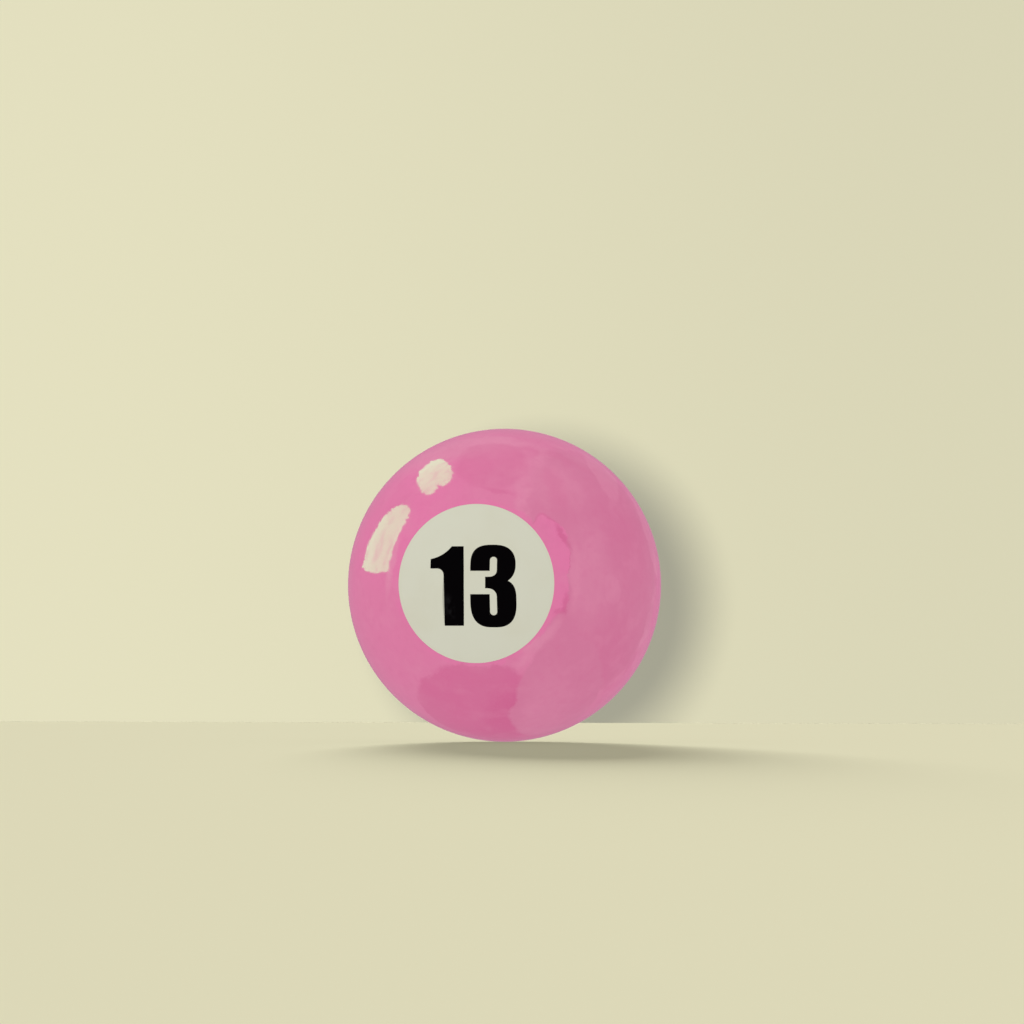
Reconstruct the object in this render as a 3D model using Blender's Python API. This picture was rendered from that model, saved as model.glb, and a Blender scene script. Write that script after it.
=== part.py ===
"""Numbered pool ball, 57.15 mm across, with the number 13 inlaid on two opposite sides.

The ball is built up from cast resin pieces. A weighted core sits in a coloured shell. A cream
number disc fills a round pocket on each side of the shell, and black numerals are inlaid in
each disc. All outer faces lie flush on one sphere.

Units are metres and +Z is up. The origin is the ball's centre. The front number faces -Y and
the rear number faces +Y, both upright. Every shape is drawn in the frame of a number axis,
whose local +Z points out through the number and whose local +Y points up.
"""

import math

import bmesh
import bpy

MM = 0.001

# Ball
BALL_RADIUS = 28.575 * MM
JOINT_GAP = 0.3 * MM  # bond line between neighbouring pieces

# Weighted core, held central in the casting mould by a boss on each side
CORE_RADIUS = 20.0 * MM
BOSS_RADIUS = 6.0 * MM
BOSS_END = 22.0 * MM  # distance of the boss's flat end from the centre
EDGE_BREAK = 0.4 * MM  # chamfer on hidden edges

# Number disc
DISC_RADIUS = 14.2 * MM
DISC_SEAT = BOSS_END + JOINT_GAP  # distance of the disc's flat back from the centre

# Numerals, in the plane of the number: x to the right, y up, from the number axis
INLAY_SEAT = 24.5 * MM  # distance of an inlay's flat back from the centre

# Tessellation
TURN_STEPS = 60
RING_ANGLE = math.radians(6.0)  # between the rings of a face on the outside of the ball
HIDDEN_RING_ANGLE = math.radians(12.0)
CURVE_STEPS = 8
MERGE_DISTANCE = 0.000001
SHARP_ANGLE = math.radians(30.0)

# Finishes: linear colour and roughness
PINK_RESIN = ("pink_resin", (0.73, 0.19, 0.39), 0.12)
CREAM_RESIN = ("cream_resin", (0.64, 0.62, 0.51), 0.16)
BLACK_RESIN = ("black_resin", (0.006, 0.006, 0.007), 0.14)
CORE_RESIN = ("core_resin", (0.30, 0.28, 0.25), 0.60)


# ---------------------------------------------------------------- scene helpers


def clear_scene():
    for obj in list(bpy.data.objects):
        bpy.data.objects.remove(obj, do_unlink=True)


def resin(finish):
    """The material of a finish, made once and then shared."""
    name, colour, roughness = finish
    material = bpy.data.materials.get(name)
    if material is None:
        material = bpy.data.materials.new(name)
        material.use_nodes = True
        shader = material.node_tree.nodes["Principled BSDF"]
        shader.inputs["Base Color"].default_value = (*colour, 1.0)
        shader.inputs["Roughness"].default_value = roughness
        shader.inputs["Metallic"].default_value = 0.0
    return material


def add_axis(name, heading):
    """An empty at the ball's centre that carries the pieces of one number axis."""
    axis = bpy.data.objects.new(name, None)
    axis.rotation_euler = (math.radians(90.0), 0.0, heading)
    bpy.context.collection.objects.link(axis)
    return axis


def add_piece(name, mesh, axis, finish):
    piece = bpy.data.objects.new(name, mesh)
    piece.parent = axis
    bpy.context.collection.objects.link(piece)
    mesh.materials.clear()
    mesh.materials.append(resin(finish))
    return piece


def add_cutter(name, mesh, axis):
    """A helper solid for a Boolean modifier, which isn't part of the ball."""
    cutter = bpy.data.objects.new(name, mesh)
    cutter.parent = axis
    cutter.hide_render = True
    cutter.display_type = "WIRE"
    bpy.context.collection.objects.link(cutter)
    return cutter


def add_boolean(piece, cutter, operation):
    modifier = piece.modifiers.new(cutter.name, "BOOLEAN")
    modifier.operation = operation
    modifier.solver = "EXACT"
    modifier.object = cutter


def finish_mesh(bm, name):
    """Turn a bmesh into a mesh with outward faces, shaded smooth except across real edges."""
    bmesh.ops.recalc_face_normals(bm, faces=bm.faces)
    mesh = bpy.data.meshes.new(name)
    bm.to_mesh(mesh)
    bm.free()
    mesh.shade_smooth()
    mesh.set_sharp_from_angle(angle=SHARP_ANGLE)
    return mesh


def turned_mesh(name, profile, is_loop=False):
    """Spin (radius, height) points round local Z. A profile that isn't a loop ends on the axis."""
    bm = bmesh.new()
    points = [bm.verts.new((radius, 0.0, height)) for radius, height in profile]
    pairs = list(zip(points, points[1:]))
    if is_loop:
        pairs.append((points[-1], points[0]))
    edges = [bm.edges.new(pair) for pair in pairs]
    bmesh.ops.spin(
        bm,
        geom=points + edges,
        cent=(0.0, 0.0, 0.0),
        axis=(0.0, 0.0, 1.0),
        angle=math.tau,
        steps=TURN_STEPS,
        use_merge=True,
    )
    bmesh.ops.remove_doubles(bm, verts=bm.verts, dist=MERGE_DISTANCE)
    return finish_mesh(bm, name)


def prism_mesh(name, outline, low, high):
    """Extrude a flat outline along local Z, from the height low to the height high."""
    bm = bmesh.new()
    base = bm.faces.new([bm.verts.new((x, y, low)) for x, y in outline])
    extruded = bmesh.ops.extrude_face_region(bm, geom=[base])
    top = [item for item in extruded["geom"] if isinstance(item, bmesh.types.BMVert)]
    bmesh.ops.translate(bm, verts=top, vec=(0.0, 0.0, high - low))
    return finish_mesh(bm, name)


# ---------------------------------------------------------------- curves


def sphere_arc(radius, start, end, ring_angle=RING_ANGLE):
    """(radius, height) points on a sphere, between two angles from its +Z pole.

    The number of steps is even, so that an arc over both sides has a ring on the equator.
    """
    steps = 2 * math.ceil(abs(end - start) / ring_angle / 2.0)
    angles = [start + (end - start) * i / steps for i in range(steps + 1)]
    return [(radius * math.sin(a), radius * math.cos(a)) for a in angles]


def mirrored(profile):
    """The same profile on the other side of the ball, running back the other way."""
    return [(radius, -height) for radius, height in reversed(profile)]


def lobe(centre, radii, start, end, squareness=2.0):
    """Points along a superellipse, in degrees. A squareness of 2 is a plain ellipse."""
    power = 2.0 / squareness
    points = []
    for i in range(CURVE_STEPS + 1):
        angle = math.radians(start + (end - start) * i / CURVE_STEPS)
        across, along = math.cos(angle), math.sin(angle)
        points.append(
            (
                centre[0] + radii[0] * math.copysign(abs(across) ** power, across),
                centre[1] + radii[1] * math.copysign(abs(along) ** power, along),
            )
        )
    return points


def bowed_line(start, end, bow):
    """Points from start to end on a shallow curve, whose middle stands bow to the left."""
    run, rise = end[0] - start[0], end[1] - start[1]
    length = math.hypot(run, rise)
    points = []
    for i in range(CURVE_STEPS + 1):
        t = i / CURVE_STEPS
        offset = 4.0 * bow * t * (1.0 - t) / length
        points.append((start[0] + run * t - rise * offset, start[1] + rise * t + run * offset))
    return points


def grown(outline, distance):
    """A counter-clockwise outline with every side moved outwards by a distance."""
    points = []
    count = len(outline)
    for i, (x, y) in enumerate(outline):
        before, after = outline[i - 1], outline[(i + 1) % count]
        first = math.atan2(y - before[1], x - before[0])
        second = math.atan2(after[1] - y, after[0] - x)
        half_turn = math.remainder(second - first, math.tau) / 2.0
        outward = first + half_turn - math.pi / 2.0
        reach = distance / math.cos(half_turn)
        points.append((x + reach * math.cos(outward), y + reach * math.sin(outward)))
    return points


def scaled(points):
    return [(x * MM, y * MM) for x, y in points]


# ---------------------------------------------------------------- numeral outlines


def numeral_1_outline():
    """A heavy upright 1 with a tapering flag, in millimetres until it is scaled."""
    stem_left, stem_right = -5.25, -1.65
    top, foot = 6.6, -7.55
    shoulder = (-3.85, top)
    flag_tip, flag_top, flag_under = -7.8, 4.35, 2.65
    flag_bow = 0.42
    fillet = 1.2
    fillet_centre = (stem_left - fillet, flag_under - fillet)
    outline = [(stem_left, foot), (stem_right, foot), (stem_right, top)]
    outline += bowed_line(shoulder, (flag_tip, flag_top), flag_bow)
    outline += [(flag_tip, flag_under)]
    outline += lobe(fillet_centre, (fillet, fillet), 90, 0)
    return scaled(outline)


def numeral_3_outline():
    """A heavy condensed 3 with narrow round-ended slots, in millimetres until it is scaled."""
    left, top, foot = -0.3, 6.85, -7.85
    upper_right, lower_right = 7.7, 7.85
    upper_axis, lower_axis = 3.05, -3.05  # heights at which each bowl is widest
    upper_arm, lower_arm = 2.2, -1.95  # cut ends of the two arms
    waist = (6.4, 0.45)
    slot_left, slot_right = 3.2, 4.45
    slot_top, slot_foot = 4.7, -5.7
    tab_left, tab_top, tab_foot = 2.4, 1.15, -0.9

    upper_middle = (left + upper_right) / 2.0
    lower_middle = (left + lower_right) / 2.0
    slot_radius = (slot_right - slot_left) / 2.0
    slot_middle = (slot_left + slot_right) / 2.0
    slot_end = (slot_radius, slot_radius)
    upper_centre = (upper_middle, upper_axis)
    lower_centre = (lower_middle, lower_axis)
    upper_bowl = (upper_right - upper_middle, top - upper_axis)
    lower_bowl = (lower_right - lower_middle, lower_axis - foot)
    upper_cheek = (2.4, 2.93)
    lower_cheek = (2.6, 3.3)
    cheek_gap = 0.35  # straight stretch above the lower bowl's widest point
    tab_roof, tab_floor = (1.35, 1.2), (1.8, 1.6)

    outline = lobe(lower_centre, lower_bowl, 180, 270, 2.75)
    outline += lobe(lower_centre, lower_bowl, 270, 360, 2.75)[1:]
    cheek_centre = (lower_right - lower_cheek[0], lower_axis + cheek_gap)
    outline += lobe(cheek_centre, lower_cheek, 0, 71, 2.5)[:-1]
    outline += [waist]
    cheek_centre = (upper_right - upper_cheek[0], upper_axis)
    outline += lobe(cheek_centre, upper_cheek, -63, 0)[1:]
    outline += lobe(upper_centre, upper_bowl, 0, 90, 2.5)[1:]
    outline += lobe(upper_centre, upper_bowl, 90, 180, 2.9)[1:]
    outline += [(left, upper_arm), (slot_left, upper_arm)]
    outline += lobe((slot_middle, slot_top - slot_radius), slot_end, 180, 0)
    roof_centre = (slot_right - tab_roof[0], tab_top + tab_roof[1])
    outline += lobe(roof_centre, tab_roof, 0, -90, 2.2)
    outline += [(tab_left, tab_top), (tab_left, tab_foot)]
    floor_centre = (slot_right - tab_floor[0], tab_foot - tab_floor[1])
    outline += lobe(floor_centre, tab_floor, 90, 0, 2.3)
    outline += lobe((slot_middle, slot_foot + slot_radius), slot_end, 0, -180)
    outline += [(slot_left, lower_arm), (left, lower_arm)]
    return scaled(outline)


# ---------------------------------------------------------------- pieces


def core_mesh():
    """A ball with a short flat-ended boss on each side."""
    meets_ball = math.asin(BOSS_RADIUS / CORE_RADIUS)
    boss = [
        (0.0, BOSS_END),
        (BOSS_RADIUS - EDGE_BREAK, BOSS_END),
        (BOSS_RADIUS, BOSS_END - EDGE_BREAK),
    ]
    ball = sphere_arc(CORE_RADIUS, meets_ball, math.pi - meets_ball, HIDDEN_RING_ANGLE)
    return turned_mesh("weighted_core", boss + ball + mirrored(boss))


def shell_mesh():
    """A thick shell with a round pocket and a boss hole on each side."""
    pocket_radius = DISC_RADIUS + JOINT_GAP / 2.0
    hole_radius = BOSS_RADIUS + JOINT_GAP
    cavity_radius = CORE_RADIUS + JOINT_GAP
    mouth = math.asin(pocket_radius / BALL_RADIUS)
    meets_hole = math.asin(hole_radius / cavity_radius)
    pocket = [(hole_radius, BOSS_END), (pocket_radius, BOSS_END)]
    outside = sphere_arc(BALL_RADIUS, mouth, math.pi - mouth)
    inside = sphere_arc(cavity_radius, math.pi - meets_hole, meets_hole, HIDDEN_RING_ANGLE)
    loop = pocket + outside + mirrored(pocket) + inside
    return turned_mesh("colour_shell", loop, is_loop=True)


def disc_blank_mesh(name):
    """A number disc before its numerals are let in: flat behind, spherical in front."""
    radius = DISC_RADIUS - JOINT_GAP / 2.0
    rim = math.asin(radius / BALL_RADIUS)
    back = [(radius, DISC_SEAT + EDGE_BREAK), (radius - EDGE_BREAK, DISC_SEAT), (0.0, DISC_SEAT)]
    return turned_mesh(name, sphere_arc(BALL_RADIUS, 0.0, rim) + back)


def build_number(side, axis):
    """One number disc with its two inlaid numerals, on its own axis."""
    proud = BALL_RADIUS + 1.0 * MM
    disc = add_piece(f"{side}_number_disc", disc_blank_mesh("number_disc"), axis, CREAM_RESIN)
    sphere_form = add_cutter(f"{side}_sphere_form", disc_blank_mesh("sphere_form"), axis)
    for digit, outline in (("1", numeral_1_outline()), ("3", numeral_3_outline())):
        recess = grown(outline, JOINT_GAP / 2.0)
        cutter_mesh = prism_mesh("recess", recess, INLAY_SEAT, proud)
        add_boolean(disc, add_cutter(f"{side}_recess_{digit}", cutter_mesh, axis), "DIFFERENCE")
        inlay = grown(outline, -JOINT_GAP / 2.0)
        inlay_mesh = prism_mesh("numeral", inlay, INLAY_SEAT + JOINT_GAP, proud)
        numeral = add_piece(f"{side}_numeral_{digit}", inlay_mesh, axis, BLACK_RESIN)
        add_boolean(numeral, sphere_form, "INTERSECT")


def build_ball():
    clear_scene()
    front = add_axis("front_number_axis", 0.0)
    rear = add_axis("rear_number_axis", math.pi)
    add_piece("weighted_core", core_mesh(), front, CORE_RESIN)
    add_piece("colour_shell", shell_mesh(), front, PINK_RESIN)
    build_number("front", front)
    build_number("rear", rear)


build_ball()
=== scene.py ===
"""Looks of the numbered pool ball: fine meshes, cast resin materials, studio and camera.

Everything is in metres, in the frame of the CAD model: the origin is the ball's centre, +Z is
up and the front number faces -Y. The pieces fill the same places as the CAD solids, and
their joints are closed to a hairline. The materials measure in shares of the ball's radius.
"""

import math
from dataclasses import dataclass

import bmesh
import bpy
from mathutils import Matrix, Vector, geometry
from mathutils import noise as fractal


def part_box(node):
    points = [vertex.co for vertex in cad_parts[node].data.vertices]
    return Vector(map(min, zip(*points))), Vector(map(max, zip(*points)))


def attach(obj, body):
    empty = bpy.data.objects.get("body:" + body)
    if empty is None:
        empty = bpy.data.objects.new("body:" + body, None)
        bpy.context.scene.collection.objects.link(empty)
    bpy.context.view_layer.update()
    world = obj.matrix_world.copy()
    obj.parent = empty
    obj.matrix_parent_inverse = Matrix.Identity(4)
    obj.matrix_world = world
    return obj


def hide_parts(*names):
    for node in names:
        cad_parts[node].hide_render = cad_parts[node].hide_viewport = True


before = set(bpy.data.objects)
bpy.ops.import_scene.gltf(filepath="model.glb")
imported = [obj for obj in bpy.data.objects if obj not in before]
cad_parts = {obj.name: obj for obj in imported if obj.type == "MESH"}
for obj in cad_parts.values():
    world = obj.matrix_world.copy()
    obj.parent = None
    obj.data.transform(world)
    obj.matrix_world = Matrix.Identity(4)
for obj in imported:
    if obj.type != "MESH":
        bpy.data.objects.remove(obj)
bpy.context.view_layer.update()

MM = 0.001

# ---------------------------------------------------------------- sizes, read from the frame

ball_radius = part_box("colour_shell")[1].x
disc_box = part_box("front_number_disc")
numeral_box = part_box("front_numeral_1")
core_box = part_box("weighted_core")

CAD_JOINT = 0.3 * MM  # gap that the CAD solids leave between neighbours
HAIRLINE = 0.02 * MM  # joint that shows between the finished pieces
BOSS_RADIUS = 6.0 * MM

disc_radius = disc_box[1].x + CAD_JOINT / 2.0
disc_back = -disc_box[1].y  # distance of the disc's flat back from the centre
inlay_back = -numeral_box[1].y
core_radius = core_box[1].x
boss_end = core_box[1].y

# Fineness of the meshes
TURN_STEPS = 288
RING_ANGLE = math.radians(1.5)
HIDDEN_RING_ANGLE = math.radians(4.0)
CURVE_STEPS = 20
CELL = 0.5 * MM  # spacing of the points inside a number's faces
REPEAT_DISTANCE = 0.001 * MM  # points closer than this are one point
SHARP_ANGLE = math.radians(30.0)


# ---------------------------------------------------------------- meshes


def add_piece(name, mesh):
    piece = bpy.data.objects.new(name, mesh)
    bpy.context.scene.collection.objects.link(piece)
    return piece


def finish_mesh(bm, name):
    """Close a bmesh into a smooth mesh, with true round normals on the ball's own surface."""
    bmesh.ops.recalc_face_normals(bm, faces=bm.faces)
    mesh = bpy.data.meshes.new(name)
    bm.to_mesh(mesh)
    bm.free()
    mesh.shade_smooth()
    mesh.set_sharp_from_angle(angle=SHARP_ANGLE)
    round_normals(mesh)
    return mesh


def round_normals(mesh):
    """Point the corner normals straight out from the centre wherever a face lies on the ball."""
    on_ball = [abs(v.co.length - ball_radius) < 0.001 * MM for v in mesh.vertices]
    normals = [Vector((0.0, 0.0, 0.0))] * len(mesh.loops)
    for face in mesh.polygons:
        if all(on_ball[v] for v in face.vertices):
            for corner in face.loop_indices:
                normals[corner] = mesh.vertices[mesh.loops[corner].vertex_index].co.normalized()
    mesh.normals_split_custom_set(normals)


def turned_mesh(name, profile, is_loop=False):
    """Turn (radius, distance along -Y) points round the Y axis."""
    bm = bmesh.new()
    rings = []
    for radius, height in profile:
        if radius == 0.0:
            rings.append([bm.verts.new((0.0, -height, 0.0))] * TURN_STEPS)
            continue
        ring = []
        for i in range(TURN_STEPS):
            angle = math.tau * i / TURN_STEPS
            ring.append(bm.verts.new((radius * math.cos(angle), -height, radius * math.sin(angle))))
        rings.append(ring)
    pairs = list(zip(rings, rings[1:]))
    if is_loop:
        pairs.append((rings[-1], rings[0]))
    for first, second in pairs:
        for i in range(TURN_STEPS):
            corners = [first[i], first[i - 1], second[i - 1], second[i]]
            bm.faces.new(list(dict.fromkeys(corners)))
    return finish_mesh(bm, name)


def sphere_arc(radius, start, end, ring_angle):
    """(radius, height) points on a sphere, between two angles from its pole."""
    steps = 2 * math.ceil(abs(end - start) / ring_angle / 2.0)
    angles = [start + (end - start) * i / steps for i in range(steps + 1)]
    return [(radius * math.sin(a), radius * math.cos(a)) for a in angles]


def mirrored(profile):
    return [(radius, -height) for radius, height in reversed(profile)]


def shell_mesh():
    """The coloured body, with a pocket for each number disc and a cavity for the core."""
    pocket_radius = disc_radius + HAIRLINE / 2.0
    hole_radius = BOSS_RADIUS + HAIRLINE
    cavity_radius = core_radius + HAIRLINE
    mouth = math.asin(pocket_radius / ball_radius)
    meets_hole = math.asin(hole_radius / cavity_radius)
    pocket = [(hole_radius, disc_back - HAIRLINE), (pocket_radius, disc_back - HAIRLINE)]
    outside = sphere_arc(ball_radius, mouth, math.pi - mouth, RING_ANGLE)
    inside = sphere_arc(cavity_radius, math.pi - meets_hole, meets_hole, HIDDEN_RING_ANGLE)
    return turned_mesh("ball_body", pocket + outside + mirrored(pocket) + inside, is_loop=True)


def core_mesh():
    """The weighted core: a ball with a flat-ended boss on each side."""
    meets_ball = math.asin(BOSS_RADIUS / core_radius)
    boss = [(0.0, boss_end), (BOSS_RADIUS, boss_end)]
    ball = sphere_arc(core_radius, meets_ball, math.pi - meets_ball, HIDDEN_RING_ANGLE)
    return turned_mesh("ball_core", boss + ball + mirrored(boss))


# ---------------------------------------------------------------- outlines of the number


def lobe(centre, radii, start, end, squareness=2.0):
    """Points along a superellipse, in degrees. A squareness of 2 is a plain ellipse."""
    power = 2.0 / squareness
    points = []
    for i in range(CURVE_STEPS + 1):
        angle = math.radians(start + (end - start) * i / CURVE_STEPS)
        across, along = math.cos(angle), math.sin(angle)
        points.append(
            (
                centre[0] + radii[0] * math.copysign(abs(across) ** power, across),
                centre[1] + radii[1] * math.copysign(abs(along) ** power, along),
            )
        )
    return points


def bowed_line(start, end, bow):
    """Points from start to end on a shallow curve, whose middle stands bow to the left."""
    run, rise = end[0] - start[0], end[1] - start[1]
    length = math.hypot(run, rise)
    points = []
    for i in range(CURVE_STEPS + 1):
        t = i / CURVE_STEPS
        offset = 4.0 * bow * t * (1.0 - t) / length
        points.append((start[0] + run * t - rise * offset, start[1] + rise * t + run * offset))
    return points


def scaled(points):
    return [Vector((x * MM, y * MM)) for x, y in points]


def numeral_1_outline():
    """A heavy upright 1 with a tapering flag, in millimetres until it is scaled."""
    stem_left, stem_right = -5.25, -1.65
    top, foot = 6.6, -7.55
    shoulder = (-3.85, top)
    flag_tip, flag_top, flag_under = -7.8, 4.35, 2.65
    flag_bow = 0.42
    fillet = 1.2
    fillet_centre = (stem_left - fillet, flag_under - fillet)
    outline = [(stem_left, foot), (stem_right, foot), (stem_right, top)]
    outline += bowed_line(shoulder, (flag_tip, flag_top), flag_bow)
    outline += [(flag_tip, flag_under)]
    outline += lobe(fillet_centre, (fillet, fillet), 90, 0)
    return scaled(outline)


def numeral_3_outline():
    """A heavy condensed 3 with narrow round-ended slots, in millimetres until it is scaled."""
    left, top, foot = -0.3, 6.85, -7.85
    upper_right, lower_right = 7.7, 7.85
    upper_axis, lower_axis = 3.05, -3.05  # heights at which each bowl is widest
    upper_arm, lower_arm = 2.2, -1.95  # cut ends of the two arms
    waist = (6.4, 0.45)
    slot_left, slot_right = 3.2, 4.45
    slot_top, slot_foot = 4.7, -5.7
    tab_left, tab_top, tab_foot = 2.4, 1.15, -0.9

    upper_middle = (left + upper_right) / 2.0
    lower_middle = (left + lower_right) / 2.0
    slot_radius = (slot_right - slot_left) / 2.0
    slot_middle = (slot_left + slot_right) / 2.0
    slot_end = (slot_radius, slot_radius)
    upper_centre = (upper_middle, upper_axis)
    lower_centre = (lower_middle, lower_axis)
    upper_bowl = (upper_right - upper_middle, top - upper_axis)
    lower_bowl = (lower_right - lower_middle, lower_axis - foot)
    upper_cheek = (2.4, 2.93)
    lower_cheek = (2.6, 3.3)
    cheek_gap = 0.35  # straight stretch above the lower bowl's widest point
    tab_roof, tab_floor = (1.35, 1.2), (1.8, 1.6)

    outline = lobe(lower_centre, lower_bowl, 180, 270, 2.75)
    outline += lobe(lower_centre, lower_bowl, 270, 360, 2.75)[1:]
    cheek_centre = (lower_right - lower_cheek[0], lower_axis + cheek_gap)
    outline += lobe(cheek_centre, lower_cheek, 0, 71, 2.5)[:-1]
    outline += [waist]
    cheek_centre = (upper_right - upper_cheek[0], upper_axis)
    outline += lobe(cheek_centre, upper_cheek, -63, 0)[1:]
    outline += lobe(upper_centre, upper_bowl, 0, 90, 2.5)[1:]
    outline += lobe(upper_centre, upper_bowl, 90, 180, 2.9)[1:]
    outline += [(left, upper_arm), (slot_left, upper_arm)]
    outline += lobe((slot_middle, slot_top - slot_radius), slot_end, 180, 0)
    roof_centre = (slot_right - tab_roof[0], tab_top + tab_roof[1])
    outline += lobe(roof_centre, tab_roof, 0, -90, 2.2)
    outline += [(tab_left, tab_top), (tab_left, tab_foot)]
    floor_centre = (slot_right - tab_floor[0], tab_foot - tab_floor[1])
    outline += lobe(floor_centre, tab_floor, 90, 0, 2.3)
    outline += lobe((slot_middle, slot_foot + slot_radius), slot_end, 0, -180)
    outline += [(slot_left, lower_arm), (left, lower_arm)]
    return scaled(outline)


def circle_outline(radius):
    """Points round the number axis, which meet the corners of a turned mesh."""
    angles = [math.tau * i / TURN_STEPS for i in range(TURN_STEPS)]
    return [Vector((radius * math.cos(a), radius * math.sin(a))) for a in angles]


def moved_out(outline, distance):
    """A counter-clockwise outline with every side moved outwards by a distance."""
    points = []
    for i, point in enumerate(outline):
        first = (point - outline[i - 1]).normalized()
        second = (outline[(i + 1) % len(outline)] - point).normalized()
        outward = Vector((first.y + second.y, -first.x - second.x)).normalized()
        reach = distance / max(outward.dot(Vector((first.y, -first.x))), 0.3)
        points.append(point + outward * reach)
    return points


# ---------------------------------------------------------------- inlaid pieces


def is_inside(point, outline):
    """True where a line to the right of the point crosses the outline an odd number of times."""
    crossings = 0
    for a, b in zip(outline, outline[1:] + outline[:1]):
        if (a.y > point.y) != (b.y > point.y):
            crossings += point.x < a.x + (point.y - a.y) * (b.x - a.x) / (b.y - a.y)
    return crossings % 2 == 1


def is_clear(point, outline, spacing):
    """True if every corner of the outline is well over half a cell away from the point."""
    return all((point - corner).length > 0.6 * spacing for corner in outline)


def without_repeats(outline):
    kept = [outline[0]]
    for point in outline[1:]:
        if (point - kept[-1]).length > REPEAT_DISTANCE:
            kept.append(point)
    return kept


def grid_points(outlines, spacing):
    """A staggered grid of points inside the first outline and outside the others."""
    outer = outlines[0]
    left, right = min(p.x for p in outer), max(p.x for p in outer)
    low, high = min(p.y for p in outer), max(p.y for p in outer)
    points = []
    for row in range(1, math.ceil((high - low) / spacing)):
        for column in range(math.ceil((right - left) / spacing) + 1):
            x = left + (column + 0.5 * (row % 2)) * spacing
            point = Vector((x, low + row * spacing))
            is_wanted = lies_between(point, outlines)
            if is_wanted and all(is_clear(point, outline, spacing) for outline in outlines):
                points.append(point)
    return points


def lies_between(point, outlines):
    """True inside the first outline and outside the others, which are its holes."""
    return is_inside(point, outlines[0]) and not any(is_inside(point, h) for h in outlines[1:])


def flat_cells(outlines, spacing):
    """Fill the space between outlines with small triangles: points, and triples of indices."""
    points, edges = [], []
    for outline in outlines:
        first = len(points)
        points += outline
        edges += [(first + i, first + (i + 1) % len(outline)) for i in range(len(outline))]
    points += grid_points(outlines, spacing)
    points, _, triangles, *_ = geometry.delaunay_2d_cdt(points, edges, [], 0, 1e-9, False)
    kept = []
    for triangle in triangles:
        middle = sum((points[i] for i in triangle), Vector((0.0, 0.0))) / 3.0
        if lies_between(middle, outlines):
            kept.append(triangle)
    return points, kept


def inlaid_mesh(name, outlines, back, hole_back=0.0):
    """A plate seen along -Y: round like the ball in front, flat behind, with blind recesses.

    The first outline is the plate's and the others are its recesses', all across the number
    axis. back and hole_back are the depths of their floors, as distances from the centre.
    """
    outlines = [without_repeats(outline) for outline in outlines]
    points, triangles = flat_cells(outlines, CELL)
    bm = bmesh.new()
    verts = [bm.verts.new((p.x, -math.sqrt(ball_radius**2 - p.length_squared), p.y)) for p in points]
    for triangle in triangles:
        bm.faces.new([verts[i] for i in triangle])
    for vert in [v for v in bm.verts if not v.link_faces]:
        bm.verts.remove(vert)
    widest = max(p.x for p in outlines[0])
    for loop in boundary_loops(bm):
        is_rim = max(v.co.x for v in loop) > widest - REPEAT_DISTANCE
        depth = back if is_rim else hole_back
        lower = [bm.verts.new((v.co.x, -depth, v.co.z)) for v in loop]
        for i in range(len(loop)):
            bm.faces.new((loop[i - 1], loop[i], lower[i], lower[i - 1]))
        bm.faces.new(lower)
    return finish_mesh(bm, name)


def boundary_loops(bm):
    """The open edges of a bmesh as closed rings of vertices."""
    neighbours = {}
    for edge in bm.edges:
        if edge.is_boundary:
            a, b = edge.verts
            neighbours.setdefault(a, []).append(b)
            neighbours.setdefault(b, []).append(a)
    loops = []
    unused = set(neighbours)
    for start in neighbours:
        if start not in unused:
            continue
        loop, here = [], start
        while here is not None:
            loop.append(here)
            unused.discard(here)
            here = next((v for v in neighbours[here] if v in unused), None)
        loops.append(loop)
    return loops


# ---------------------------------------------------------------- pieces


def build_body():
    core = add_piece("ball_core", core_mesh())
    body = add_piece("ball_body", shell_mesh())
    paint(core, core_resin(), "weighted_core")
    paint(body, pink_resin(), "colour_shell")


def build_number(side, turn, cream, black):
    """One number disc and its two numerals. The rear ones are turned half round."""
    outlines = {"1": numeral_1_outline(), "3": numeral_3_outline()}
    rim = circle_outline(disc_radius - HAIRLINE / 2.0)
    recesses = [moved_out(outline, HAIRLINE / 2.0) for outline in outlines.values()]
    disc_mesh = inlaid_mesh(f"{side}_disc", [rim] + recesses, disc_back, inlay_back)
    disc_mesh.transform(turn)
    paint(add_piece(f"{side}_disc", disc_mesh), cream, f"{side}_number_disc")
    for digit, outline in outlines.items():
        inlay = moved_out(outline, -HAIRLINE / 2.0)
        mesh = inlaid_mesh(f"{side}_figure_{digit}", [inlay], inlay_back + HAIRLINE)
        mesh.transform(turn)
        piece = add_piece(f"{side}_figure_{digit}", mesh)
        paint(piece, black, f"{side}_numeral_{digit}")


def paint(piece, material, node):
    """Finish a piece, let it stand for a CAD node and ride with the ball."""
    piece.data.materials.append(material)
    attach(piece, "root")
    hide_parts(node)


# ---------------------------------------------------------------- shader nodes


def new_material(name):
    material = bpy.data.materials.new(name)
    material.use_nodes = True
    tree = material.node_tree
    return material, tree, tree.nodes["Principled BSDF"]


def add_node(tree, kind, sockets, **settings):
    """Add a node. sockets holds a value, or another node's output, for each named input."""
    item = tree.nodes.new(kind)
    for name, value in settings.items():
        setattr(item, name, value)
    for name, value in sockets.items():
        connect(tree, value, item.inputs[name])
    return item


def connect(tree, value, socket):
    if isinstance(value, bpy.types.NodeSocket):
        tree.links.new(value, socket)
    else:
        socket.default_value = value


def maths(tree, operation, *values):
    sockets = dict(enumerate(values))
    return add_node(tree, "ShaderNodeMath", sockets, operation=operation).outputs[0]


def vector_maths(tree, operation, *values):
    sockets = dict(enumerate(values))
    return add_node(tree, "ShaderNodeVectorMath", sockets, operation=operation).outputs[0]


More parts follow.
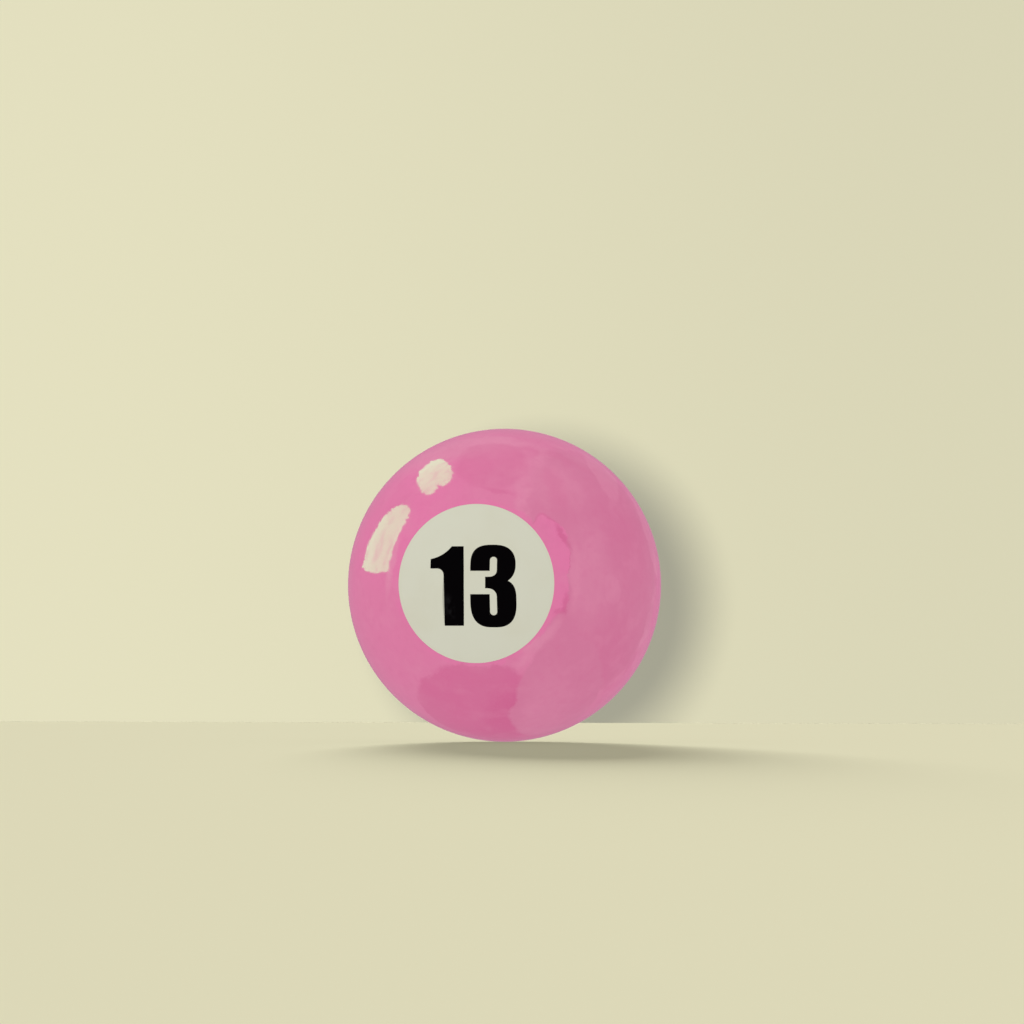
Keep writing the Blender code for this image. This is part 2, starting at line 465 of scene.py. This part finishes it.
def noise(tree, place, scale, detail=2.0, output="Fac"):
    sockets = {"Vector": place, "Scale": scale, "Detail": detail}
    return add_node(tree, "ShaderNodeTexNoise", sockets).outputs[output]


def ramp(tree, value, start, end, low=0.0, high=1.0):
    """A smooth step from low to high, as value goes from start to end."""
    sockets = {"Value": value, "From Min": start, "From Max": end, "To Min": low, "To Max": high}
    kind = "ShaderNodeMapRange"
    return add_node(tree, kind, sockets, interpolation_type="SMOOTHSTEP").outputs["Result"]


def mix(tree, factor, first, second):
    """Mix two colours, each a linear (r, g, b) or another node's output."""
    item = tree.nodes.new("ShaderNodeMix")
    item.data_type = "RGBA"
    connect(tree, factor, item.inputs[0])
    for value, socket in ((first, item.inputs[6]), (second, item.inputs[7])):
        connect(tree, (*value, 1.0) if isinstance(value, tuple) else value, socket)
    return item.outputs[2]


def ball_place(tree):
    """The place on the ball, as a share of its radius."""
    coordinates = tree.nodes.new("ShaderNodeTexCoord").outputs["Object"]
    share = 1.0 / ball_radius
    return vector_maths(tree, "MULTIPLY", coordinates, (share, share, share))


def ragged(tree, place, reach, scale):
    """Move a place about by noise, so that what is drawn with it gets a hand-made edge."""
    shift = vector_maths(tree, "SUBTRACT", noise(tree, place, scale, 3.0, "Color"), (0.5,) * 3)
    step = vector_maths(tree, "MULTIPLY", shift, (2.0 * reach,) * 3)
    return vector_maths(tree, "ADD", place, step)


def on_ball(azimuth, elevation):
    """Unit vector out of the ball. Azimuth 0 is the front number's, and grows towards +X."""
    a, e = math.radians(azimuth), math.radians(elevation)
    return Vector((math.sin(a) * math.cos(e), -math.cos(a) * math.cos(e), math.sin(e)))


def patch(tree, places, wash):
    """A mask, 1 inside the wash's oval, once for each of the places given."""
    out = on_ball(wash.azimuth, wash.elevation)
    right = on_ball(wash.azimuth + 90.0, 0.0)
    turn = Matrix((right, out.cross(right), out)).transposed()
    turn = turn @ Matrix.Rotation(math.radians(wash.tilt), 3, "Z")
    mask = 0.0
    for place in places:
        sockets = {
            "Vector": place,
            "Location": out,
            "Rotation": turn.to_euler(),
            "Scale": (*wash.size, PATCH_DEPTH),
        }
        local = add_node(tree, "ShaderNodeMapping", sockets, vector_type="TEXTURE").outputs[0]
        length = add_node(tree, "ShaderNodeVectorMath", {0: local}, operation="LENGTH")
        inside = ramp(tree, length.outputs["Value"], 1.0 + wash.softness, 1.0 - wash.softness)
        mask = maths(tree, "MAXIMUM", mask, inside)
    return mask


def both_sides(tree, place):
    """The place given, and the same place for the other side of the ball."""
    return place, vector_maths(tree, "MULTIPLY", place, (-1.0, -1.0, 1.0))


def from_number_axis(tree, place):
    """Distance from the axis through the two numbers."""
    flat = vector_maths(tree, "MULTIPLY", place, (1.0, 0.0, 1.0))
    return add_node(tree, "ShaderNodeVectorMath", {0: flat}, operation="LENGTH").outputs["Value"]


def hairline_scratches(tree, place, coverage):
    """A mask of a few thin scratches, in two directions."""
    mask = 0.0
    for turn in SCRATCH_TURNS:
        sockets = {"Vector": place, "Rotation": turn, "Scale": SCRATCH_STRETCH}
        drawn = add_node(tree, "ShaderNodeMapping", sockets).outputs[0]
        lines = ramp(tree, noise(tree, drawn, 1.0, 3.0), coverage, coverage + 0.05)
        mask = maths(tree, "MAXIMUM", mask, lines)
    return mask


def finish_gloss(tree, shader, place, roughness, spread, scratch_coverage):
    """Roughness that drifts about, fine scratches, and the faint waviness of polished resin."""
    drift = ramp(tree, noise(tree, place, 5.0, 3.0), 0.3, 0.7, roughness, roughness + spread)
    scratches = hairline_scratches(tree, place, scratch_coverage)
    rough = maths(tree, "MULTIPLY_ADD", scratches, SCRATCH_ROUGHNESS, drift)
    connect(tree, rough, shader.inputs["Roughness"])
    height = maths(tree, "MULTIPLY_ADD", scratches, -SCRATCH_DEPTH, noise(tree, place, 9.0, 2.0))
    sockets = {"Height": height, "Strength": 1.0, "Distance": WAVINESS}
    connect(tree, add_node(tree, "ShaderNodeBump", sockets).outputs[0], shader.inputs["Normal"])


# ---------------------------------------------------------------- materials

PATCH_DEPTH = 1.0  # how far a patch reaches into the ball, as a share of the radius
SCRATCH_TURNS = ((0.4, 0.2, 0.9), (1.1, -0.7, 2.3))
SCRATCH_STRETCH = (1.5, 90.0, 1.5)
SCRATCH_ROUGHNESS = 0.10
SCRATCH_DEPTH = 0.02
WAVINESS = 0.02 * MM

PINK = (0.795, 0.193, 0.393)
BRIGHT_PINK = (0.840, 0.176, 0.410)
DEEP_PINK = (0.705, 0.097, 0.293)
PALE_PINK = (0.840, 0.272, 0.453)
DUSTY_PINK = (0.730, 0.180, 0.358)
CREAM = (0.637, 0.654, 0.532)
AGED_CREAM = (0.617, 0.624, 0.492)
BLACK = (0.0010, 0.0010, 0.0012)
WORN_BLACK = (0.0070, 0.0070, 0.0075)
CORE_GREY = (0.30, 0.28, 0.25)
CORE_SPECK = (0.14, 0.13, 0.12)

# The gloss on the pink is tinted against it, so that a highlight reads cream
PINK_GLOSS_TINT = (0.45, 1.0, 0.70, 1.0)
PINK_GLOSS_LEVEL = 1.0
PINK_IOR = 1.8
BLACK_GLOSS_LEVEL = 0.02

# How far the edges of the washes stray, and the scale of the noise that moves them
BROAD_WANDER = (0.05, 7.0)
FINE_WANDER = (0.015, 65.0)

# The broken line that borders some of the washes
BORDER_SCALE = 8.0
BORDER_BREAKS = (0.42, 0.62)
BORDER_STRENGTH = 2.0

# Soft mottling of the pink, from broad clouds to a fine grain: scale, detail, strength, colour
CLOUDS = (
    (2.3, 3.0, 0.30, DUSTY_PINK),
    (6.5, 4.0, 0.22, PALE_PINK),
    (17.0, 4.0, 0.12, DEEP_PINK),
    (48.0, 3.0, 0.14, DUSTY_PINK),
)
CLOUD_RANGE = (0.45, 0.75)

# The brighter ring round each number disc: its reach beyond the disc's edge
RING_FULL = 0.015
RING_END = 0.035
RING_STRENGTH = 0.9
AGED_RIM = 0.03  # width of the aged edge of each number disc


@dataclass
class Wash:
    """A brushed-on patch of colour, repeated on both sides of the ball: pigment, and in some washes
    painted light, shade and reflection.

    Angles are in degrees. size is its half width and half height, as a share of the radius.
    Its border can be drawn in a colour of its own, as where wet pigment dries.
    """

    colour: tuple
    azimuth: float
    elevation: float
    size: tuple
    tilt: float = 0.0
    softness: float = 0.3
    strength: float = 1.0
    border: tuple = ()


WASHES = (
    # Brighter on the left, duller on the right, with a strip of haze between them: pigment, and
    # partly painted light and shade, as if lit from the upper left
    Wash(BRIGHT_PINK, -60, 8, (0.80, 1.10), softness=0.35),
    Wash(PINK, -42, -30, (0.36, 0.60), tilt=15, softness=0.40, strength=0.7),
    Wash(DUSTY_PINK, 52, 6, (0.56, 0.86), softness=0.10, border=PALE_PINK),
    Wash(DEEP_PINK, 70, 24, (0.24, 0.34), tilt=-20, softness=0.60, strength=0.30),
    Wash(DEEP_PINK, 60, -30, (0.26, 0.34), tilt=30, softness=0.60, strength=0.24),
    Wash(PALE_PINK, 45, 2, (0.14, 0.30), softness=0.60, strength=0.30),
    Wash(PALE_PINK, 55, -2, (0.06, 0.09), tilt=10, softness=0.12, strength=0.18),
    Wash(PALE_PINK, 30, 41, (0.22, 0.17), tilt=-25, softness=0.60, strength=0.32),
    Wash(DEEP_PINK, 36, 37, (0.07, 0.17), tilt=-5, softness=0.50, strength=0.22),
    # Pale strokes just inside the right edge: a painted reflection, the lighter rim that the glossy
    # edge shows there
    Wash(PALE_PINK, 74, 45, (0.11, 0.26), tilt=-30, softness=0.14, strength=0.38),
    Wash(PALE_PINK, 89, 20, (0.11, 0.30), tilt=-8, softness=0.14, strength=0.38),
    Wash(PALE_PINK, 84, -22, (0.08, 0.22), tilt=12, softness=0.14, strength=0.30),
    # Under the number: the deep patch, then the dull one that cuts it off on the right
    Wash(DEEP_PINK, -1, -53, (0.43, 0.40), softness=0.05, strength=0.62, border=DEEP_PINK),
    Wash(DEEP_PINK, 15, -60, (0.15, 0.36), tilt=-4, softness=0.45, strength=0.70),
    # Deeper towards the bottom of the ball: partly painted shade, besides the pigment
    Wash(DEEP_PINK, -6, -80, (0.50, 0.26), softness=0.50, strength=0.60),
    Wash(DUSTY_PINK, 42, -46, (0.30, 0.46), tilt=12, softness=0.05),
    Wash(PALE_PINK, 35, -50, (0.13, 0.30), tilt=12, softness=0.60, strength=0.25),
    # Round the top
    Wash(PALE_PINK, -24, 60, (0.34, 0.15), tilt=25, softness=0.55, strength=0.8),
    Wash(DEEP_PINK, 4, 50, (0.23, 0.23), tilt=10, softness=0.12, strength=0.28),
    Wash(PALE_PINK, 14, 66, (0.20, 0.05), tilt=-20, softness=0.60, strength=0.35),
    Wash(DEEP_PINK, 8, 36, (0.09, 0.018), tilt=-12, softness=0.60, strength=0.45),
    Wash(DEEP_PINK, 42, 55, (0.26, 0.035), tilt=-30, softness=0.60, strength=0.18),
    # Small marks beside the number
    Wash(PALE_PINK, 25, -22, (0.17, 0.04), tilt=52, softness=0.60, strength=0.6),
    Wash(PALE_PINK, -34, 8, (0.03, 0.20), tilt=-12, softness=0.60, strength=0.7),
    Wash(PALE_PINK, 38, 3, (0.035, 0.20), softness=0.60, strength=0.35),
    # The bright strip on the number's right, with darker brush marks on its outer corners
    Wash(BRIGHT_PINK, 27, 6, (0.150, 0.33), softness=0.05, border=DEEP_PINK),
    Wash(BRIGHT_PINK, 29, 17, (0.12, 0.10), tilt=-8, softness=0.08),
    Wash(BRIGHT_PINK, 28, -6, (0.12, 0.10), softness=0.08),
    Wash(DEEP_PINK, 34, 17, (0.022, 0.085), tilt=22, softness=0.60, strength=0.75),
    Wash(DEEP_PINK, 32, -10, (0.050, 0.018), tilt=10, softness=0.60, strength=0.60),
    Wash(DEEP_PINK, 34, -7, (0.018, 0.060), softness=0.60, strength=0.70),
)

WORN_SPOT = Wash(WORN_BLACK, -8.5, -8.5, (0.03, 0.07), tilt=8, softness=0.5)


def pink_resin():
    """Glossy cast pink resin in soft washes, like watercolour, some of them painted light, shade and
    reflection.
    """
    material, tree, shader = new_material("pink_cast_resin")
    place = ball_place(tree)
    drawn = ragged(tree, ragged(tree, place, *BROAD_WANDER), *FINE_WANDER)
    colour = PINK
    for wash in WASHES:
        mask = patch(tree, both_sides(tree, drawn), wash)
        colour = mix(tree, maths(tree, "MULTIPLY", mask, wash.strength), colour, wash.colour)
        if wash.border:
            colour = add_border(tree, colour, mask, place, wash)
    colour = add_rim_line(tree, colour, drawn)
    colour = add_clouds(tree, colour, place)
    connect(tree, colour, shader.inputs["Base Color"])
    finish_gloss(tree, shader, place, roughness=0.045, spread=0.03, scratch_coverage=0.66)
    shader.inputs["Specular Tint"].default_value = PINK_GLOSS_TINT
    shader.inputs["Specular IOR Level"].default_value = PINK_GLOSS_LEVEL
    shader.inputs["IOR"].default_value = PINK_IOR
    return material


def add_border(tree, colour, mask, place, wash):
    """A broken line where the mask is between 0 and 1."""
    line = maths(tree, "MULTIPLY", mask, maths(tree, "SUBTRACT", 1.0, mask))
    broken = ramp(tree, noise(tree, place, BORDER_SCALE), *BORDER_BREAKS, 0.0, BORDER_STRENGTH)
    return mix(tree, maths(tree, "MULTIPLY", line, broken), colour, wash.border)


def add_rim_line(tree, colour, place):
    """A narrow brighter ring round each number disc."""
    edge = disc_radius / ball_radius
    ring = ramp(tree, from_number_axis(tree, place), edge + RING_END, edge + RING_FULL)
    return mix(tree, maths(tree, "MULTIPLY", ring, RING_STRENGTH), colour, BRIGHT_PINK)


def add_clouds(tree, colour, place):
    for scale, detail, strength, tint in CLOUDS:
        amount = ramp(tree, noise(tree, place, scale, detail), *CLOUD_RANGE, 0.0, strength)
        colour = mix(tree, amount, colour, tint)
    return colour


def cream_resin():
    """Smooth cream resin, a little aged towards the rim and in faint clouds."""
    material, tree, shader = new_material("cream_cast_resin")
    place = ball_place(tree)
    clouds = ramp(tree, noise(tree, place, 3.5, 4.0), 0.40, 0.80, 0.0, 0.8)
    edge = disc_radius / ball_radius
    rim = ramp(tree, from_number_axis(tree, place), edge - AGED_RIM, edge, 0.0, 0.5)
    aged = maths(tree, "MAXIMUM", clouds, rim)
    connect(tree, mix(tree, aged, CREAM, AGED_CREAM), shader.inputs["Base Color"])
    finish_gloss(tree, shader, place, roughness=0.06, spread=0.05, scratch_coverage=0.67)
    return material


def black_resin():
    """Satin black inlay, worn a little grey low on the 1."""
    material, tree, shader = new_material("black_cast_resin")
    place = ball_place(tree)
    worn = patch(tree, both_sides(tree, place), WORN_SPOT)
    clouds = ramp(tree, noise(tree, place, 26.0, 3.0), 0.40, 0.65)
    amount = maths(tree, "MULTIPLY", worn, clouds)
    connect(tree, mix(tree, amount, BLACK, WORN_SPOT.colour), shader.inputs["Base Color"])
    finish_gloss(tree, shader, place, roughness=0.16, spread=0.08, scratch_coverage=0.68)
    shader.inputs["Specular IOR Level"].default_value = BLACK_GLOSS_LEVEL
    return material


def core_resin():
    """Matt resin, full of mineral specks."""
    material, tree, shader = new_material("mineral_filled_resin")
    place = ball_place(tree)
    specks = ramp(tree, noise(tree, place, 45.0, 4.0), 0.48, 0.62)
    connect(tree, mix(tree, specks, CORE_GREY, CORE_SPECK), shader.inputs["Base Color"])
    rough = ramp(tree, noise(tree, place, 20.0, 3.0), 0.3, 0.7, 0.5, 0.75)
    connect(tree, rough, shader.inputs["Roughness"])
    sockets = {"Height": specks, "Strength": 0.6, "Distance": 0.05 * MM}
    connect(tree, add_node(tree, "ShaderNodeBump", sockets).outputs[0], shader.inputs["Normal"])
    return material


# ---------------------------------------------------------------- camera

VIEW_AZIMUTH = 11.77  # degrees, from in front of the number towards +X
VIEW_ELEVATION = -0.73
LENS = 200.0  # in millimetres, like the width of the sensor
SENSOR = 36.0
BALL_WIDTH = 0.3057  # the ball's diameter, in picture widths
BALL_RIGHT = -0.0073  # the ball's centre, from the middle of the picture
BALL_UP = -0.0715

camera_half_angle = math.atan(BALL_WIDTH * SENSOR / LENS / 2.0)
camera_distance = ball_radius / math.sin(camera_half_angle)


def view_frame():
    """The camera's axes while it looks straight at the ball: right, up and towards the camera."""
    back = on_ball(VIEW_AZIMUTH, VIEW_ELEVATION)
    right = Vector((0.0, 0.0, 1.0)).cross(back).normalized()
    return Matrix((right, back.cross(right), back)).transposed()


def add_camera():
    data = bpy.data.cameras.new("camera")
    data.lens = LENS
    data.sensor_width = SENSOR
    data.clip_end = 20.0
    camera = bpy.data.objects.new("camera", data)
    bpy.context.scene.collection.objects.link(camera)
    bpy.context.scene.camera = camera
    pan = Matrix.Rotation(math.atan(BALL_RIGHT * SENSOR / LENS), 3, "Y")
    tilt = Matrix.Rotation(-math.atan(BALL_UP * SENSOR / LENS), 3, "X")
    view = view_frame()
    place = Matrix.Translation(view.col[2] * camera_distance)
    camera.matrix_world = place @ (view @ pan @ tilt).to_4x4()


# ---------------------------------------------------------------- studio

TABLE_BACK = 0.30  # how far the table reaches behind the ball
TABLE_FRONT = 2.0
TABLE_HALF_WIDTH = 1.2
WALL_DISTANCE = 1.5
WALL_HALF_WIDTH = 0.80
WALL_HEIGHT = 0.80
BACKDROP_RADIUS = 2.4
BACKDROP_LOW = -1.2
BACKDROP_HIGH = 2.4
CIRCLE_STEPS = 96
TABLE_PAPER = (0.77, 0.745, 0.530)
PAINTED_LIGHT_PAPER = (0.90, 0.875, 0.625)
PAINTED_SHADE_PAPER = (0.76, 0.74, 0.535)
WALL_FADE_START = -0.62  # painted shade: the wall's paper darkens between these two places along X
WALL_FADE_END = -0.05
BACKDROP_GLOW = (0.72, 0.69, 0.49)


def stage_piece(name, corners, faces, material):
    """A piece of the studio, which the ball's surface doesn't see, as bounced light or as gloss."""
    mesh = bpy.data.meshes.new(name)
    mesh.from_pydata(corners, [], faces)
    mesh.materials.append(material)
    piece = add_piece(name, mesh)
    piece.visible_diffuse = False
    piece.visible_glossy = False
    return piece


def add_table():
    """The pale floor that the ball stands on."""
    half, low = TABLE_HALF_WIDTH, -ball_radius
    front, back = -TABLE_FRONT, TABLE_BACK
    corners = [(-half, front, low), (half, front, low), (half, back, low), (-half, back, low)]
    material, _, shader = paper("table_paper")
    shader.inputs["Base Color"].default_value = (*TABLE_PAPER, 1.0)
    return stage_piece("table", corners, [(0, 1, 2, 3)], material)


def add_wall():
    """A pale wall well behind the ball, which takes its soft shadow, with painted shade darkening it
    to the right.
    """
    y, half, high = WALL_DISTANCE, WALL_HALF_WIDTH, WALL_HEIGHT
    corners = [(-half, y, -high), (half, y, -high), (half, y, high), (-half, y, high)]
    material, tree, shader = paper("wall_paper")
    place = tree.nodes.new("ShaderNodeTexCoord").outputs["Object"]
    across = add_node(tree, "ShaderNodeSeparateXYZ", {0: place}).outputs["X"]
    # Painted light and shade: the paper is lighter on the left and darker on the right
    shade = ramp(tree, across, WALL_FADE_START, WALL_FADE_END)
    connect(tree, mix(tree, shade, PAINTED_LIGHT_PAPER, PAINTED_SHADE_PAPER), shader.inputs["Base Color"])
    return stage_piece("wall", corners, [(0, 1, 2, 3)], material)


def add_backdrop():
    """A round screen with a floor, far out round everything, with a glow of its own."""
    corners = []
    for height in (BACKDROP_LOW, BACKDROP_HIGH):
        for i in range(CIRCLE_STEPS):
            angle = math.tau * i / CIRCLE_STEPS
            x, y = BACKDROP_RADIUS * math.cos(angle), BACKDROP_RADIUS * math.sin(angle)
            corners.append((x, y, height))
    faces = [range(CIRCLE_STEPS)]
    for i in range(CIRCLE_STEPS):
        after = (i + 1) % CIRCLE_STEPS
        faces.append((i, after, after + CIRCLE_STEPS, i + CIRCLE_STEPS))
    screen = stage_piece("backdrop", corners, faces, glow("backdrop_glow", BACKDROP_GLOW)[0])
    screen.visible_shadow = False


def paper(name):
    """Matt paper without a colour yet, with its tree and shader."""
    material, tree, shader = new_material(name)
    shader.inputs["Roughness"].default_value = 0.9
    shader.inputs["Specular IOR Level"].default_value = 0.0
    return material, tree, shader


def glow(name, colour):
    """A material that only glows, with its tree and emission node."""
    material = bpy.data.materials.new(name)
    material.use_nodes = True
    tree = material.node_tree
    tree.nodes.clear()
    emission = add_node(tree, "ShaderNodeEmission", {"Color": (*colour, 1.0), "Strength": 1.0})
    add_node(tree, "ShaderNodeOutputMaterial", {"Surface": emission.outputs[0]})
    return material, tree, emission


# ---------------------------------------------------------------- lights

DOME_ANGLE = 170.0  # degrees, so that a sun lights like half of the sky
DOME_AZIMUTH = VIEW_AZIMUTH - 40.0
DOME_ELEVATION = 40.0
WORLD_LIGHT = 0.42
WORLD_COLOUR = (WORLD_LIGHT, 0.97 * WORLD_LIGHT, 0.93 * WORLD_LIGHT)
WORLD_IN_GLOSS = (0.58, 0.29, 0.40)
DOME_LIGHT = math.pi * (1.0 - WORLD_LIGHT)  # with the world's, lights a surface fully
FRONT_DOME_LIGHT = 1.10 * DOME_LIGHT
REAR_DOME_LIGHT = 1.01 * DOME_LIGHT
TABLE_DOME_LIGHT = 0.20
TABLE_KEY_LIGHT = 6.82
TABLE_KEY_ANGLE = 14.0
TABLE_KEY_AZIMUTH = VIEW_AZIMUTH + 184.0
TABLE_KEY_ELEVATION = 12.0
WALL_KEY_DISTANCE = 0.981
WALL_KEY_SIZE = 0.019
WALL_KEY_LEFT = 0.66  # degrees, from the line between the ball and the camera
WALL_KEY_UP = 0.34
WALL_KEY_POWER = 27.0
WALL_KEY_COLOUR = (1.0, 0.966, 0.85)
WALL_FILL_LIGHT = 0.39  # cool light on the wall, also where the ball keeps the key off it
WALL_FILL_COLOUR = (0.46, 0.60, 1.0)
HIGHLIGHT_DISTANCE = 0.4  # from the ball's surface to the glowing panels
HIGHLIGHT_CELL = 0.012
HIGHLIGHT_STEPS = 120
TORN_REACH = 0.014
TORN_SCALE = 70.0
MOTTLE_SCALE = 24.0
MOTTLE_RANGE = (0.47, 0.70)
HIGHLIGHT_GLOW = (0.8, 2.50, 1.30)
HIGHLIGHT_SHADE = (0.8, 1.85, 1.05)


def add_light(name, kind, azimuth, elevation, distance, receivers, blockers):
    """A light out from the ball's centre, which the camera and the gloss don't see.

    It lights the receivers only, and only the blockers keep it off them.
    """
    data = bpy.data.lights.new(name, kind)
    light = bpy.data.objects.new(name, data)
    bpy.context.scene.collection.objects.link(light)
    out = on_ball(azimuth, elevation)
    light.location = out * distance
    light.rotation_euler = out.to_track_quat("Z", "Y").to_euler()
    light.visible_camera = False
    light.visible_glossy = False
    light.light_linking.receiver_collection = group_of(f"{name}_receivers", receivers)
    light.light_linking.blocker_collection = group_of(f"{name}_blockers", blockers)
    return data


def group_of(name, pieces):
    group = bpy.data.collections.new(name)
    for piece in pieces:
        group.objects.link(piece)
    return group


def add_dome(name, azimuth, elevation, strength, receivers, blockers=()):
    """Even light from half of the sky."""
    data = add_light(name, "SUN", azimuth, elevation, 1.0, receivers, blockers)
    data.energy = strength
    data.angle = math.radians(DOME_ANGLE)
    return data


def set_world():
    """Even light all round, which the gloss of the ball sees as a dimmer rosy glow."""
    world = bpy.data.worlds.new("studio")
    world.use_nodes = True
    tree = world.node_tree
    is_gloss = tree.nodes.new("ShaderNodeLightPath").outputs["Is Glossy Ray"]
    shader = tree.nodes["Background"]
    connect(tree, mix(tree, is_gloss, WORLD_COLOUR, WORLD_IN_GLOSS), shader.inputs["Color"])
    shader.inputs["Strength"].default_value = 1.0
    bpy.context.scene.world = world


def round_highlight():
    """Outline of the round highlight in the camera's view, as shares of the ball's radius."""
    centre = Vector((-0.440, 0.684))
    radius = 0.108
    stretch, stretch_angle = 0.014, 42.0
    notch_depth, notch_width, notch_angle = 0.036, 17.0, -68.0
    outline = []
    for i in range(HIGHLIGHT_STEPS):
        angle = 360.0 * i / HIGHLIGHT_STEPS
        reach = radius + stretch * math.cos(math.radians(2.0 * (angle - stretch_angle)))
        from_notch = math.remainder(angle - notch_angle, 360.0)
        reach -= notch_depth * math.exp(-((from_notch / notch_width) ** 2))
        turn = math.radians(angle)
        outline.append(centre + Vector((math.cos(turn), math.sin(turn))) * reach)
    return outline


def long_highlight():
    """Outline of the long highlight, which follows the ball's edge."""
    top_angle, foot_angle = 140.7, 174.5
    near, widest, top_narrowing = 0.735, 0.900, 0.075
    top_rounding, foot_rounding = 0.14, 0.04
    outer, inner = [], []
    for i in range(HIGHLIGHT_STEPS // 2):
        t = i / (HIGHLIGHT_STEPS // 2 - 1)
        angle = math.radians(top_angle + (foot_angle - top_angle) * t)
        far = widest - top_narrowing * (1.0 - t) ** 3
        half = (far - near) / 2.0
        half *= math.sqrt(1.0 - max(0.0, 1.0 - t / top_rounding) ** 2)
        half *= math.sqrt(1.0 - max(0.0, 1.0 - (1.0 - t) / foot_rounding) ** 2)
        ray = Vector((math.cos(angle), math.sin(angle)))
        outer.append(ray * ((far + near) / 2.0 + half))
        inner.append(ray * ((far + near) / 2.0 - half))
    return outer + inner[::-1]


def torn(outline):
    """The outline with its points shifted about by a little noise."""
    points = []
    for point in outline:
        place = Vector((point.x, point.y, 0.0)) * TORN_SCALE
        shift = Vector((fractal.noise(place), fractal.noise(place + Vector((9.0, 9.0, 9.0)))))
        points.append(point + shift * TORN_REACH)
    return points


def add_highlight(name, outline):
    """A glowing panel whose reflection in the ball has the outline given.

    Each point of it is sent from the camera to the ball and on along the mirrored ray.
    """
    view = view_frame()
    eye = view.col[2] * camera_distance
    points, triangles = flat_cells([without_repeats(torn(outline))], HIGHLIGHT_CELL)
    corners = []
    for point in points:
        normal = view @ Vector((point.x, point.y, math.sqrt(1.0 - point.length_squared)))
        to_eye = (eye - normal * ball_radius).normalized()
        mirrored_ray = 2.0 * normal.dot(to_eye) * normal - to_eye
        corners.append(normal * ball_radius + mirrored_ray * HIGHLIGHT_DISTANCE)
    panel = stage_piece(name, corners, triangles, mottled_glow(f"{name}_glow"))
    panel.visible_camera = False
    panel.visible_shadow = False
    panel.visible_glossy = True  # unlike the rest of the studio


def mottled_glow(name):
    """The glow of the highlights, duller in small clouds."""
    material, tree, emission = glow(name, HIGHLIGHT_GLOW)
    place = tree.nodes.new("ShaderNodeTexCoord").outputs["Object"]
    shade = ramp(tree, noise(tree, place, MOTTLE_SCALE, 4.0), *MOTTLE_RANGE)
    connect(tree, mix(tree, shade, HIGHLIGHT_GLOW, HIGHLIGHT_SHADE), emission.inputs["Color"])
    return material


def light_studio(ball, table, wall):
    """Even light on the ball, and one key each for its shadows on the table and the wall."""
    set_world()
    add_dome("ball_dome_front", DOME_AZIMUTH, DOME_ELEVATION, FRONT_DOME_LIGHT, ball)
    add_dome("ball_dome_rear", DOME_AZIMUTH + 180.0, -DOME_ELEVATION, REAR_DOME_LIGHT, ball)
    add_dome("table_dome", 0, 90, TABLE_DOME_LIGHT, [table], ball)
    azimuth, elevation = TABLE_KEY_AZIMUTH, TABLE_KEY_ELEVATION
    table_key = add_light("table_key", "SUN", azimuth, elevation, 1.0, [table], ball)
    table_key.angle = math.radians(TABLE_KEY_ANGLE)
    table_key.energy = TABLE_KEY_LIGHT
    azimuth, elevation = VIEW_AZIMUTH - WALL_KEY_LEFT, VIEW_ELEVATION + WALL_KEY_UP
    wall_key = add_light("wall_key", "AREA", azimuth, elevation, WALL_KEY_DISTANCE, [wall], ball)
    wall_key.shape = "DISK"
    wall_key.size = WALL_KEY_SIZE
    wall_key.energy = WALL_KEY_POWER
    wall_key.color = WALL_KEY_COLOUR
    add_dome("wall_fill", VIEW_AZIMUTH, 0, WALL_FILL_LIGHT, [wall]).color = WALL_FILL_COLOUR
    add_highlight("round_highlight", round_highlight())
    add_highlight("long_highlight", long_highlight())


# ---------------------------------------------------------------- scene

bpy.context.scene.view_settings.view_transform = "Standard"
build_body()
cream, black = cream_resin(), black_resin()
build_number("front", Matrix.Identity(4), cream, black)
build_number("rear", Matrix.Rotation(math.pi, 4, "Z"), cream, black)
ball = [o for o in bpy.context.scene.objects if o.type == "MESH" and not o.hide_render]
for piece in ball:
    piece.visible_diffuse = False  # keeps a pink glow off the table
table, wall = add_table(), add_wall()
add_backdrop()
light_studio(ball, table, wall)
add_camera()
